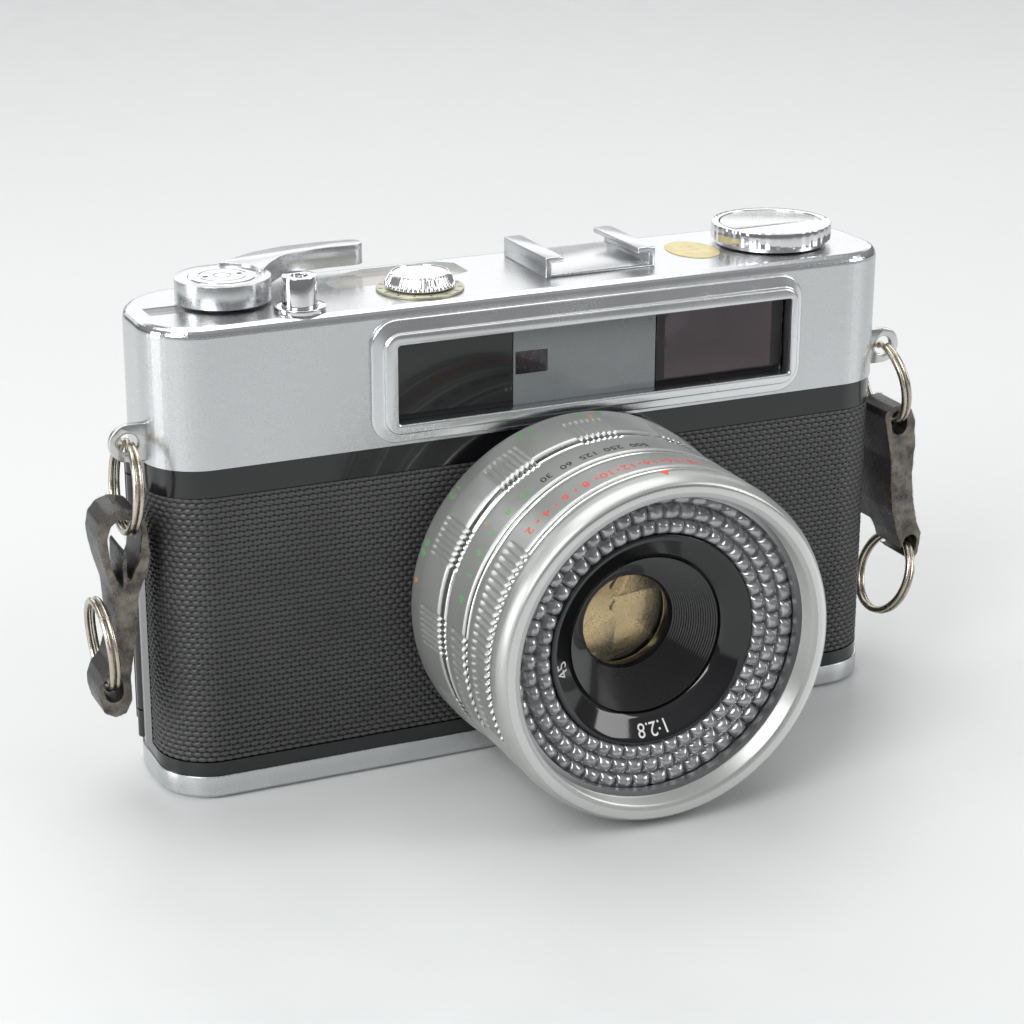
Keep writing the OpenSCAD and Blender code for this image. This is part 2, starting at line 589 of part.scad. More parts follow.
// Teardrop loop round both rings with the strip's inner end standing in it
module leather_tab_left() color("#3d3a35") leather(tab_y[0], tab_y[1]) difference() {
  polygon([[-75.4, 54.2], [-77.8, 53.6], [-79.4, 51.9], [-79.9, 49.4], [-79.7, 47], [-79, 43.8],
           [-77.8, 39.6], [-77.5, 34.4], [-77.6, 29.3], [-78.6, 26.2], [-80.2, 24.6], [-81, 22.5],
           [-81, 20.6], [-80.3, 17.9], [-78.3, 16.8], [-76.3, 17.3], [-75.1, 19.8], [-75.3, 23.7],
           [-74.3, 29], [-73.7, 33.8], [-73, 38.7], [-71.5, 42.5], [-70.8, 45.3], [-71, 48.4],
           [-71.4, 51.2], [-72.8, 53.4]]);
  polygon([[-75.9, 52.2], [-77.3, 51.3], [-78, 49.2], [-77.7, 44.6], [-76.4, 40.5], [-75.8, 38.6],
           [-75.9, 42], [-75.85, 46.4], [-75.3, 47], [-74.9, 46.4], [-75, 42], [-75.2, 39.6],
           [-74.3, 42], [-73, 44.6], [-72.6, 47.3], [-72.3, 49.6], [-72.6, 51.4]]);
  polygon(capsule(foot_left, [-78.5, 23], 1.5, 8));
}
// Folded strip sewn shut, with a wider flap behind it
module leather_tab_right() color("#3d3a35") {
  leather(tab_y[0], tab_y[1]) difference() {
    polygon([[71.9, 52.2], [71.5, 51], [72.5, 46.2], [73.4, 42.3], [73.6, 37.2], [74.2, 32.1],
             [75.6, 26.8], [76.9, 23.4], [78.6, 21.5], [79.8, 21.6], [80.6, 22.5], [81, 24.7],
             [81.2, 26.6], [80.1, 28.9], [79, 33.9], [78.4, 39.1], [78.5, 41.6], [78.8, 45.3],
             [78.4, 49.8], [77.5, 52.1], [75.7, 53.2], [73.5, 53]]);
    polygon(capsule([74.95, 48.9], [74.75, 50.6], 1.5, 8));
    polygon(capsule(foot_right, [78.3, 23.9], 1.4, 8));
  }
  leather(tab_y[1] - 0.5, flap_y)
    polygon([[71.9, 50.5], [72.5, 46.2], [73.4, 42.3], [73.6, 37.2], [74.2, 32.1], [75.4, 27.3],
             [76.7, 27.6], [75.5, 32.2], [74.9, 37.3], [74.7, 42.5], [73.8, 46.4], [73, 50.5]]);
}

body_casting();
top_cover();
base_plate();
tripod_socket();
leatherette_front();
window_frame();
name_plate();
frosted_window();
rangefinder_window();
viewfinder_window();
finder_housing();
eyepiece_frame();
eyepiece_lens();
meter_window();
meter_movement();
meter_needle();
counter_window();
frame_counter_disc();
release_collar();
release_button();
dial_ring();
film_speed_dial();
accessory_shoe();
inspection_sticker();
case_screws();
advance_lever();
lever_cap();
sprocket_shaft();
take_up_spool();
rewind_bush();
rewind_knob();
rewind_fork();
rewind_crank();
rewind_release();
back_door();
leatherette_back();
pressure_plate();
hinge_pin();
door_latch();
lens_mount();
focus_ring();
lens_barrel();
speed_ring();
aperture_ring();
front_ring();
bubble_glass();
selenium_cell();
name_ring();
cone_baffle();
front_element();
rear_element();
shutter_blades();
strap_lug_left();
strap_lug_right();
upper_ring_left();
upper_ring_right();
leather_tab_left();
leather_tab_right();
lower_ring_left();
lower_ring_right();
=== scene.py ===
import json
import math
import random
import bmesh
import bpy
import numpy as np
from mathutils import Matrix, Vector, noise


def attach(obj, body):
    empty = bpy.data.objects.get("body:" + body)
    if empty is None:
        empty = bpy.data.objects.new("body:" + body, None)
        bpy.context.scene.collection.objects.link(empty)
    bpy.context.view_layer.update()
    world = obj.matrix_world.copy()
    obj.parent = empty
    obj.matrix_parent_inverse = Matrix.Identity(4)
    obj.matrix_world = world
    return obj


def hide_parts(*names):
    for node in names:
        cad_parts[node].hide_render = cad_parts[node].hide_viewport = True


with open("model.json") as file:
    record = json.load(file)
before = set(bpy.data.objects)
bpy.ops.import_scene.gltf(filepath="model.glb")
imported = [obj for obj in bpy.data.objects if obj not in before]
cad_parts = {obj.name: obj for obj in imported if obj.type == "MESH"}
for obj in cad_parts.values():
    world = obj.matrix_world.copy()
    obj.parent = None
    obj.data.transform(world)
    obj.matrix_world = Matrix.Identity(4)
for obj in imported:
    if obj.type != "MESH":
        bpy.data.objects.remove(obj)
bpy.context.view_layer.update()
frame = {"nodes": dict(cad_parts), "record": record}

MM = 0.001

# Main dimensions of the CAD, in mm
BODY_W, BODY_D, FRONT_R, REAR_R = 140.0, 29.0, 10.0, 12.5
FRONT_Y = -BODY_D / 2
LEATHER_Z = (6.85, 55.1)
COVER_TOP, COVER_EDGE = 84.3, 1.3
LENS_X, LENS_Z = 4.35, 31.5
RING_R, FOCUS_R, FILTER_R = 30.7, 31.3, 26.9
BORE_R = 27.5                               # inside of the setting rings and the front ring
LEVER_AT, DIAL_AT = (-53, 1), (-19.5, -4.9)
STRAP_X, STRAP_Y, LUG_Z, SPLIT_R = 72.8, -6.5, 64, 7.6
FOOT_LEFT, FOOT_RIGHT = (-78.3, 21.4), (78.8, 25.2)    # lower rings in their tabs, x and z
HEAD_LEFT, HEAD_RIGHT = (-74, 48.85), (74.9, 48.95)    # upper rings in their tabs, x and z


# ---- Materials ----

def material(name, color, rough=0.4, metal=0.0, vary=0.08, rough_vary=0.08, broad=60, grain=4000,
             bump=0.06, stretch=(1, 1, 1), wear=0.0, wear_color=(0.5, 0.5, 0.5), scratch=0.0,
             polish_band=None, **fixed):
    """Principled material with cloudy colour, fine grain, worn edges and hair scratches."""
    m = bpy.data.materials.new(name)
    m.use_nodes = True
    nodes, links = m.node_tree.nodes, m.node_tree.links
    shader = nodes["Principled BSDF"]
    coord = nodes.new("ShaderNodeTexCoord")

    def node(kind, **inputs):
        made = nodes.new("ShaderNode" + kind)
        for key, value in inputs.items():
            made.inputs[key.replace("_", " ")].default_value = value
        return made

    def noise_of(scale, detail, by=(1, 1, 1)):
        mapping = node("Mapping", Scale=by)
        links.new(coord.outputs["Object"], mapping.inputs["Vector"])
        made = node("TexNoise", Scale=scale, Detail=detail)
        links.new(mapping.outputs[0], made.inputs["Vector"])
        return made.outputs["Fac"]

    def spread(source, low, high, to_low, to_high):
        made = nodes.new("ShaderNodeMapRange")
        for socket, value in zip(made.inputs[1:5], (low, high, to_low, to_high)):
            socket.default_value = value
        links.new(source, made.inputs[0])
        return made.outputs[0]

    def mixed(fac, a, b):
        made = nodes.new("ShaderNodeMix")
        made.data_type = "RGBA"
        links.new(fac, made.inputs["Factor"])
        for socket, value in ((made.inputs[6], a), (made.inputs[7], b)):
            if isinstance(value, tuple):
                socket.default_value = (*value[:3], 1)
            else:
                links.new(value, socket)
        return made.outputs[2]

    def maths(kind, a, b):
        made = nodes.new("ShaderNodeMath")
        made.operation = kind
        for socket, value in zip(made.inputs, (a, b)):
            if isinstance(value, (int, float)):
                socket.default_value = value
            else:
                links.new(value, socket)
        return made.outputs[0]

    cloud = noise_of(broad, 5)
    fine = noise_of(grain, 2, stretch)
    tint = mixed(spread(cloud, 0.3, 0.7, 0, 1), tuple(c * (1 - vary) for c in color),
                 tuple(min(1, c * (1 + vary)) for c in color))
    roughness = spread(maths("ADD", cloud, fine), 0.7, 1.3, max(0.02, rough - rough_vary), rough + rough_vary)
    height = fine
    if scratch:
        hair = noise_of(900, 3, (1, 0.05, 0.3))
        line = spread(hair, 0.72, 0.76, 0, scratch)
        roughness = maths("ADD", roughness, line)
        height = maths("SUBTRACT", height, line)
    if wear:
        edge = nodes.new("ShaderNodeNewGeometry").outputs["Pointiness"]
        worn = maths("MULTIPLY", spread(edge, 0.53, 0.6, 0, wear), spread(noise_of(500, 4), 0.4, 0.6, 0, 1))
        tint = mixed(worn, tint, wear_color)
    if polish_band:
        low, high = polish_band
        split = nodes.new("ShaderNodeSeparateXYZ")
        links.new(coord.outputs["Object"], split.inputs[0])
        under = spread(split.outputs["Z"], (low - 0.3) * MM, low * MM, 1, 0)
        over = spread(split.outputs["Z"], (high - 0.05) * MM, high * MM, 0, 1)
        dull = spread(maths("ADD", under, over), 0, 1, 0.35, 1)
        roughness = maths("MULTIPLY", roughness, dull)
    links.new(tint, shader.inputs["Base Color"])
    links.new(roughness, shader.inputs["Roughness"])
    relief = node("Bump", Strength=bump, Distance=0.0002)
    links.new(height, relief.inputs["Height"])
    links.new(relief.outputs[0], shader.inputs["Normal"])
    shader.inputs["Metallic"].default_value = metal
    for key, value in fixed.items():
        shader.inputs[key.replace("_", " ")].default_value = value
    return m


MATS = {
    "black_casting": material("black_casting", (0.006, 0.006, 0.007), 0.16, grain=2500, bump=0.02,
                              scratch=0.3, Coat_Weight=0.3),
    "satin_chrome": material("satin_chrome", (0.64, 0.65, 0.66), 0.27, 1, 0.03, 0.03, grain=6000, bump=0.06,
                             scratch=0.05),
    "cover_chrome": material("cover_chrome", (0.63, 0.64, 0.65), 0.27, 1, 0.03, 0.03, grain=6000, bump=0.09,
                             scratch=0.06, polish_band=(COVER_TOP - COVER_EDGE, COVER_TOP - 0.02)),
    "bright_chrome": material("bright_chrome", (0.72, 0.72, 0.73), 0.1, 1, 0.03, 0.04, grain=2500, bump=0.02,
                              scratch=0.12),
    "bright_steel": material("bright_steel", (0.6, 0.6, 0.59), 0.2, 1, 0.05, 0.06, grain=3000, bump=0.05,
                             scratch=0.15),
    "leatherette": material("leatherette", (0.052, 0.052, 0.053), 0.38, 0, 0.15, 0.05, grain=7000, bump=0.1),
    # near-black painted shade for the valleys of the leatherette relief
    "leatherette_valley_shade": material("leatherette_valley_shade", (0.006, 0.006, 0.006), 0.6, 0, 0.15, 0.05, bump=0.1),
    "frame_metal": material("frame_metal", (0.7, 0.71, 0.72), 0.25, 1, 0.03, 0.03, grain=6000, bump=0.04,
                            scratch=0.08),
    "gloss_black": material("gloss_black", (0.006, 0.006, 0.007), 0.09, 0, 0.1, 0.03, bump=0.01,
                            scratch=0.1, Coat_Weight=0.3),
    "frosted_plastic": material("frosted_plastic", (0.16, 0.175, 0.18), 0.3, 0, 0.12, 0.06, grain=6000,
                                bump=0.03, Coat_Weight=1.0, Coat_Roughness=0.03),
    "coated_glass": material("coated_glass", (0.8, 0.68, 0.78), 0.03, 0, 0.08, 0.02, bump=0.004,
                             Transmission_Weight=1.0, IOR=1.5),
    "finder_brown": material("finder_brown", (0.2, 0.13, 0.1), 0.55, bump=0.1),
    "matt_black": material("matt_black", (0.02, 0.02, 0.02), 0.6, bump=0.15, grain=3000),
    "clear_glass": material("clear_glass", (0.75, 0.8, 0.82), 0.04, bump=0.004, Alpha=0.3, Coat_Weight=1.0),
    "clear_plastic": material("clear_plastic", (0.7, 0.72, 0.7), 0.08, bump=0.01, scratch=0.2, Alpha=0.3,
                              Coat_Weight=1.0),
    "meter_card": material("meter_card", (0.72, 0.71, 0.66), 0.6, bump=0.05, vary=0.05),
    "needle_red": material("needle_red", (0.5, 0.04, 0.02), 0.45, bump=0.03),
    "counter_white": material("counter_white", (0.75, 0.75, 0.72), 0.5, bump=0.04, vary=0.04),
    "dial_scale": material("dial_scale", (0.5, 0.49, 0.38), 0.38, 0.6, 0.08, grain=3000, bump=0.05),
    "satin_steel": material("satin_steel", (0.62, 0.62, 0.62), 0.26, 1, 0.04, 0.06, bump=0.06,
                            stretch=(1, 1, 0.1), scratch=0.08),
    "sticker_gold": material("sticker_gold", (0.6, 0.52, 0.26), 0.42, 0.35, 0.15, 0.08, broad=600,
                             grain=2500, bump=0.1),
    "inner_aluminium": material("inner_aluminium", (0.45, 0.45, 0.46), 0.4, 1, bump=0.08),
    "inner_steel": material("inner_steel", (0.45, 0.45, 0.45), 0.32, 1, bump=0.06, stretch=(1, 1, 0.1)),
    "brass_bush": material("brass_bush", (0.62, 0.45, 0.2), 0.3, 1, bump=0.06),
    "ring_satin": material("ring_satin", (0.47, 0.48, 0.465), 0.36, 0.7, 0.04, 0.04, grain=5000, bump=0.03,
                           scratch=0.06),
    "ring_lip": material("ring_lip", (0.66, 0.66, 0.65), 0.2, 0.95, 0.03, 0.04, bump=0.02, scratch=0.08),
    "bubble_plastic": material("bubble_plastic", (0.36, 0.365, 0.37), 0.16, 0.6, 0.3, 0.05, broad=500,
                               bump=0.02, Coat_Weight=1.0, Coat_Roughness=0.03),
    "cell_dark": material("cell_dark", (0.02, 0.018, 0.018), 0.4, 0.3, bump=0.04),
    "baffle_black": material("baffle_black", (0.016, 0.016, 0.017), 0.2, 0.4, bump=0.02, Coat_Weight=0.8),
    "amber_glass": material("amber_glass", (0.95, 0.88, 0.72), 0.03, 0, 0.05, 0.02, bump=0.002,
                            Transmission_Weight=1.0, IOR=1.45),
    "blade_steel": material("blade_steel", (0.6, 0.52, 0.38), 0.22, 0.9, 0.2, 0.08, broad=200, bump=0.05),
    "ring_wire": material("ring_wire", (0.56, 0.52, 0.44), 0.25, 1, 0.12, 0.1, broad=250, grain=2500,
                          bump=0.08, wear=0.6, wear_color=(0.3, 0.22, 0.12), scratch=0.15),
    "tab_leather": material("tab_leather", (0.018, 0.016, 0.015), 0.36, 0, 0.25, 0.1, broad=250, grain=2200,
                            bump=0.45, scratch=0.25, wear=0.4, wear_color=(0.16, 0.14, 0.12)),
    "suede": material("suede", (0.12, 0.108, 0.088), 0.95, 0, 0.75, 0.04, broad=500, grain=2600, bump=0.9,
                      Sheen_Weight=0.5, Sheen_Roughness=0.5),
    "suede_fibre": material("suede_fibre", (0.3, 0.27, 0.22), 0.8, 0, 0.3, bump=0.02, Sheen_Weight=0.4),
    "ink_black": material("ink_black", (0.012, 0.012, 0.012), 0.45, bump=0.02),
    "ink_red": material("ink_red", (0.72, 0.07, 0.03), 0.45, bump=0.02),
    "ink_green": material("ink_green", (0.1, 0.42, 0.1), 0.45, bump=0.02),
    "ink_white": material("ink_white", (0.72, 0.72, 0.7), 0.45, bump=0.02),
    "ink_orange": material("ink_orange", (0.6, 0.25, 0.05), 0.45, bump=0.02),
}


# ---- Making pieces ----

def piece(name, verts, faces, mats, body, node=None, indices=None, smooth=40):
    """Mesh object from points in mm."""
    mesh = bpy.data.meshes.new(name)
    mesh.from_pydata((np.asarray(verts, float) * MM).tolist(), [], faces)
    return dress(name, mesh, mats, body, node, indices, smooth)


def dress(name, mesh, mats, body, node=None, indices=None, smooth=40):
    """Object for a mesh, with its materials, the CAD node that it replaces and the body that it rides on."""
    obj = bpy.data.objects.new(name, mesh)
    bpy.context.scene.collection.objects.link(obj)
    mesh.materials.clear()
    for m in mats:
        mesh.materials.append(MATS[m])
    if indices is not None:
        mesh.polygons.foreach_set("material_index", np.asarray(indices, dtype=np.int32))
    work = bmesh.new()
    work.from_mesh(mesh)
    bmesh.ops.recalc_face_normals(work, faces=work.faces)
    work.to_mesh(mesh)
    work.free()
    mesh.shade_smooth()
    mesh.set_sharp_from_angle(angle=math.radians(smooth))
    if node:
        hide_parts(node)
    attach(obj, body)
    return obj


def softened(node, mat, body, width=0.15, segments=2):
    """Copy of a CAD node with rounded edges."""
    mesh = frame["nodes"][node].data.copy()
    mesh.transform(frame["nodes"][node].matrix_world)
    work = bmesh.new()
    work.from_mesh(mesh)
    bmesh.ops.remove_doubles(work, verts=work.verts, dist=1e-6)
    bmesh.ops.dissolve_limit(work, angle_limit=math.radians(0.5), verts=work.verts, edges=work.edges)
    sharp = [e for e in work.edges if e.is_manifold and e.calc_face_angle(0) > math.radians(35)]
    bmesh.ops.bevel(work, geom=sharp, offset=width * MM, segments=segments, profile=0.5, affect="EDGES",
                    clamp_overlap=True)
    work.to_mesh(mesh)
    work.free()
    return dress(node + "_soft", mesh, [mat], body, node, smooth=50)


def lens_point(r, theta, z):
    """Point from radius, angle clockwise from the top seen from the front, and distance forward."""
    return np.stack([LENS_X + r * np.sin(theta), np.broadcast_to(FRONT_Y - z, np.shape(r * theta)),
                     LENS_Z + r * np.cos(theta)], axis=-1)


def filled(points, step):
    """Closed profile with extra points, no further apart than step."""
    out = []
    for p, q in zip(points, points[1:] + points[:1]):
        n = max(1, int(math.dist(p, q) / step))
        out += [(p[0] + (q[0] - p[0]) * k / n, p[1] + (q[1] - p[1]) * k / n) for k in range(n)]
    return np.array(out)


def loop_faces(rows, cols):
    """Quads of a grid closed in both directions."""
    i, k = np.meshgrid(np.arange(rows), np.arange(cols), indexing="ij")
    i2, k2 = (i + 1) % rows, (k + 1) % cols
    return np.stack([i * cols + k, i * cols + k2, i2 * cols + k2, i2 * cols + k], axis=-1).reshape(-1, 4)


def lens_ring(name, profile, mats, body, node, cut=None, lips=(), count=1440, step=0.45):
    """Turned ring of (radius, distance) points.

    cut gives the depth of the grip at an angle and distance; lips are the stretches with the second material.
    """
    grip_from, lip_from = 29.2, 28
    line = filled(profile, step)
    theta = np.radians(np.arange(count) * 360 / count)[:, None]
    r = np.broadcast_to(line[:, 0], (count, len(line))).copy()
    z = np.broadcast_to(line[:, 1], r.shape)
    if cut:
        r = r - np.where(line[:, 0] > grip_from, cut(np.degrees(theta), z), 0)
    verts = lens_point(r, np.broadcast_to(theta, r.shape), z).reshape(-1, 3)
    faces = loop_faces(count, len(line))
    middle = (line[:, 1] + np.roll(line[:, 1], -1)) / 2
    lip = np.zeros(len(line), int)
    for low, high in lips:
        lip[(middle > low) & (middle < high) & (line[:, 0] > lip_from)] = 1
    return piece(name, verts, faces.tolist(), mats, body, node, indices=np.tile(lip, count), smooth=60)


def grooves(theta, z, first, last, pitch, depth, z0, z1):
    """Depth of a group of grooves between two angles, from distance z0 to z1, with soft ends."""
    fade = 0.4
    turn = (theta - first) % 360
    wave = 0.5 - 0.5 * np.cos(2 * np.pi * turn / pitch)
    inside = (turn < last - first) * np.clip((z - z0) / fade, 0, 1) * np.clip((z1 - z) / fade, 0, 1)
    return depth * wave * inside


# ---- Leatherette ----

def outline_path(inset, start_y, end_y, back=False):
    """Plan points along the body from the left side round to the right."""
    w, d = BODY_W / 2 - inset, BODY_D / 2 - inset
    corner = (REAR_R if back else FRONT_R) - inset
    side = 1 if back else -1
    raw = [(-w, start_y)]
    raw += [(-w + corner - corner * math.cos(a), side * (d - corner + corner * math.sin(a)))
            for a in np.linspace(0, math.pi / 2, 60)]
    raw += [(w - corner + corner * math.sin(a), side * (d - corner + corner * math.cos(a)))
            for a in np.linspace(0, math.pi / 2, 60)]
    raw += [(w, end_y)]
    return np.array(raw)


LEATHER_INSET = 0.8


def weave(name, node, body, start_y, end_y, per_column, per_row, back=False, hole=None):
    """Embossed covering: rows of wide bumps and narrow links, odd rows shifted by half a pitch."""
    raw = outline_path(LEATHER_INSET, start_y, end_y, back)
    length = np.concatenate([[0], np.cumsum(np.linalg.norm(np.diff(raw, axis=0), axis=1))])
    pitch, row = 1.55, 0.965
    # the last value is the height below which the relief is painted dark as shade
    ground, relief, shade_below = 0.08, 0.41, 0.27
    low_z, high_z = LEATHER_Z
    samples = int(length[-1] / pitch * per_column)
    s = np.linspace(0, length[-1], samples)
    x, y = np.interp(s, length, raw[:, 0]), np.interp(s, length, raw[:, 1])
    tangent = np.stack([np.gradient(x), np.gradient(y)], axis=-1)
    tangent /= np.linalg.norm(tangent, axis=1)[:, None]
    out = np.stack([tangent[:, 1], -tangent[:, 0]], axis=-1) * (-1 if back else 1)
    z = np.linspace(low_z + 0.03, high_z - 0.03, int((high_z - low_z) / row * per_row))
    number = np.floor((z - low_z) / row)
    across = np.abs(((z - low_z) / row) % 1 - 0.5) * 2
    along = ((s[:, None] / pitch + number[None, :] * 0.5) % 1 - 0.5)
    far = np.minimum(np.abs(along - 0.5), np.abs(along + 0.5))

    def rounded(distance, half_width, power=2):
        return np.sqrt(np.clip(1 - (distance / half_width) ** power, 0, 1))

    bump = rounded(along, 0.4, 4) * rounded(across, 1)[None, :]
    link = 0.6 * rounded(far, 0.22) * rounded(across, 0.7)
    height = ground + relief * np.maximum(bump, link)
    height[0] = height[-1] = 0
    height[:, 0] = height[:, -1] = 0
    px = x[:, None] + out[:, 0:1] * height
    py = y[:, None] + out[:, 1:2] * height
    verts = np.stack([px, py, np.broadcast_to(z, px.shape)], axis=-1).reshape(-1, 3)
    i, k = np.meshgrid(np.arange(samples - 1), np.arange(len(z) - 1), indexing="ij")
    quads = np.stack([i * len(z) + k, (i + 1) * len(z) + k, (i + 1) * len(z) + k + 1, i * len(z) + k + 1],
                     axis=-1).reshape(-1, 4)
    if hole:
        # round opening behind the lens
        centre = verts[quads].mean(axis=1)
        inside = np.hypot(centre[:, 0] - LENS_X, centre[:, 2] - LENS_Z) < hole
        quads = quads[~(inside & (centre[:, 1] < FRONT_Y + 2))]
    # faces low in the relief take a near-black material: painted shade that darkens the valleys between the
    # bumps
    low = height.reshape(-1)[quads].mean(axis=1) < shade_below
    return piece(name, verts, quads.tolist(), ["leatherette", "leatherette_valley_shade"], body, node,
                 indices=low.astype(int), smooth=80)


weave("leatherette_front_weave", "leatherette_front", "camera_body", -1.8, 7.6, 8, 6, hole=28)
weave("leatherette_back_weave", "leatherette_back", "back_door", 10.05, 10.05, 4, 3, back=True)


# ---- Lens ----

def focus_grip(theta, z):
    """Twelve groups of fine grooves, 30 degrees apart."""
    return sum(grooves(theta, z, -9.5 - 30 * k, 4.5 - 30 * k, 2, 0.3, 7.5, 17) for k in range(12))


def speed_grip(theta, z):
    """One group on the shutter-speed ring."""
    return grooves(theta, z, -118, -85, 2.75, 0.32, 19.5, 26)


def aperture_grip(theta, z):
    """One group on each side of the aperture ring."""
    return grooves(theta, z, -115, -50, 2.5, 0.5, 28, 35) + grooves(theta, z, 38, 110.5, 2.5, 0.5, 28, 35)


def setting_profile(z0, z1, lip):
    """Section of a setting ring, with a groove before its front lip."""
    r, bore = RING_R, BORE_R + 0.05
    return [(bore, z0), (r - 0.4, z0), (r - 0.1, z0 + 0.3), (r - 0.1, z1 - lip - 0.4), (r - 0.6, z1 - lip),
            (r - 0.2, z1 - lip + 0.3), (r - 0.2, z1 - 0.4), (r - 0.5, z1), (bore, z1)]


lens_ring("focus_ring_grips", [(26.05, 3), (FOCUS_R - 0.5, 2.8), (FOCUS_R, 3.4), (FOCUS_R, 7), (30.7, 13.6),
                               (30.2, 14), (30.6, 14.4), (30.6, 16.1), (30.2, 16.5), (28.8, 16.5), (28.8, 12),
                               (26.05, 12)],
          ["ring_satin", "ring_lip"], "focus_ring", "focus_ring", focus_grip, [(14.2, 16.6), (2.7, 3.5)])
lens_ring("speed_ring_grips", setting_profile(16.85, 25.7, 1.4), ["ring_satin", "ring_lip"], "speed_ring",
          "speed_ring", speed_grip, [(24.4, 25.8)])
lens_ring("aperture_ring_grips", setting_profile(25.95, 34.8, 1.2), ["ring_satin", "ring_lip"],
          "aperture_ring", "aperture_ring", aperture_grip, [(33.7, 34.9)])
# Turns of the filter thread, cut as steps
THREAD = [(FILTER_R + (0.22 if k % 2 else 0), 39.0 - k * 0.27) for k in range(12)]
lens_ring("front_ring_threaded", [(BORE_R, 35), (30.4, 35), (30.6, 35.4), (30.4, 37.4), (29.7, 39),
                                  (29.3, 39.4), (27.2, 39.4)] + THREAD + [(FILTER_R, 35.8), (BORE_R, 35.8)],
          ["ring_satin", "ring_lip"], "lens_unit", "front_ring", None, [(39.2, 39.5)], 360, 0.6)


def grooved_cone():
    """Black cone down to the front glass, turned in fine steps."""
    steps, top, bottom = 20, (13.75, 30.5), (8.3, 23.5)
    line = [(8.5, 22.65), (8.5, 20.05), (24.2, 20.05), (24.2, 23), (15.6, 26), (16.6, 30), (13.95, 29.9)]
    for k in range(steps):
        r = top[0] + (bottom[0] - top[0]) * k / steps
        z = top[1] + (bottom[1] - top[1]) * k / steps
        line += [(r, z), (r - 0.02, z - 0.24)]
    lens_ring("cone_baffle_grooved", line + [(8.12, 23.3), (8.12, 22.65)], ["baffle_black"], "lens_unit",
              "cone_baffle", count=240, step=2)


grooved_cone()


def bubble_ring():
    """Three rows of pillow lenses over the light cell."""
    count, per, rows, per_r = 48, 12, 3, 12
    inner, outer = 18.78, 26.58
    seat, floor, rise = 32.25, 32.75, 1.42
    theta = np.radians(np.arange(count * per) * 360 / (count * per))[:, None]
    rho = np.linspace(0, rows, rows * per_r + 1)[None, :]
    row = np.minimum(np.floor(rho), rows - 1)
    u = (np.degrees(theta) * count / 360 + row * 0.5) % 1 * 2 - 1
    v = (rho - row) * 2 - 1
    dome = (1 - u * u) * (1 - v * v)
    r = inner + (outer - inner) * rho / rows + 0 * theta
    z = floor + rise * np.clip(dome, 0, 1) ** 0.55
    top = lens_point(r, np.broadcast_to(theta, r.shape), z)
    flat = lens_point(r[:, [-1, 0]], np.broadcast_to(theta, (count * per, 2)),
                      np.full((count * per, 2), seat))
    grid = np.concatenate([top, flat], axis=1)
    piece("bubble_ring_lenses", grid.reshape(-1, 3), loop_faces(count * per, grid.shape[1]).tolist(),
          ["bubble_plastic"], "lens_unit", "bubble_glass", smooth=75)


bubble_ring()
lens_ring("name_ring_gloss", [(18.7, 31.5), (18.7, 33.2), (18.5, 33.4), (18.2, 33.4), (14.1, 30.8),
                              (14, 30.6), (14, 29.9), (17.3, 31.5)],
          ["gloss_black"], "lens_unit", "name_ring", count=360, step=0.7)


# ---- Numerals and marks ----

def glyphs(text, size):
    """Flat mesh of numerals about their centre, in mm."""
    curve = bpy.data.curves.new("numeral", "FONT")
    curve.body = text
    curve.size = size
    curve.align_x, curve.align_y = "CENTER", "CENTER"
    curve.extrude = 0.01
    curve.resolution_u = 3
    holder = bpy.data.objects.new("numeral", curve)
    bpy.context.scene.collection.objects.link(holder)
    bpy.context.view_layer.update()
    mesh = bpy.data.meshes.new_from_object(holder.evaluated_get(bpy.context.evaluated_depsgraph_get()))
    verts = np.array([v.co for v in mesh.vertices])
    faces = [tuple(p.vertices) for p in mesh.polygons]
    bpy.data.objects.remove(holder)
    bpy.data.meshes.remove(mesh)
    return verts, faces


def on_ring(name, marks, ink, body, size, radius, z):
    """Numerals round the outside of a lens ring: (text, angle). Their tops point forward."""
    verts, faces, start = [], [], 0
    for text, angle in marks:
        v, f = glyphs(text, size)
        theta = math.radians(angle) - v[:, 0] / radius
        verts.append(lens_point(radius + 0.03 + v[:, 2], theta, z + v[:, 1]))
        faces += [tuple(k + start for k in face) for face in f]
        start += len(v)
    piece(name, np.concatenate(verts), faces, [ink], body)


def dots(name, places, ink, body, radius, size=0.28):
    """Filled dots round a lens ring: (angle, distance)."""
    verts, faces = [], []
    for angle, z in places:
        turn = np.linspace(0, 2 * np.pi, 17)[:-1]
        start = len(verts)
        for lift in (-0.02, 0.04):
            ring = lens_point(np.full(16, radius + lift), math.radians(angle) + size * np.cos(turn) / radius,
                              z + size * np.sin(turn))
            verts += ring.tolist()
        faces.append(tuple(range(start + 16, start + 32)))
        faces += [(start + k, start + (k + 1) % 16, start + 16 + (k + 1) % 16, start + 16 + k)
                  for k in range(16)]
    piece(name, verts, faces, [ink], body)


FLAT_R = RING_R - 0.1
SPEED_Z, APERTURE_Z = 21.5, 30.5
on_ring("speed_numerals", [("500", 5), ("250", -4), ("125", -12.5), ("60", -20.5), ("30", -28)], "ink_black",
        "speed_ring", 2.3, FLAT_R, SPEED_Z)
on_ring("slow_numerals", [("15", -36), ("8", -44), ("4", -52), ("2", -59.5), ("1", -67), ("B", -75)],
        "ink_green", "speed_ring", 2.3, FLAT_R, SPEED_Z)
on_ring("aperture_numerals", [(t, -44.5 + 7.5 * k) for k, t in enumerate("2 4 6 8 10 12 14 16 18".split())],
        "ink_red", "aperture_ring", 2.7, FLAT_R, APERTURE_Z)
dots("aperture_dots", [(-40.75 + 7.5 * k, APERTURE_Z) for k in range(8)], "ink_red", "aperture_ring", FLAT_R)
on_ring("distance_numerals", [("0.8", -69), ("1.2", -49), ("2", -22), ("7", -18), ("3", -1), ("5", 6)],
        "ink_green", "focus_ring", 2.6, FOCUS_R, 4.9)
dots("distance_dots", [(-80, 4.5), (2, 6.4)], "ink_orange", "focus_ring", FOCUS_R, 0.5)
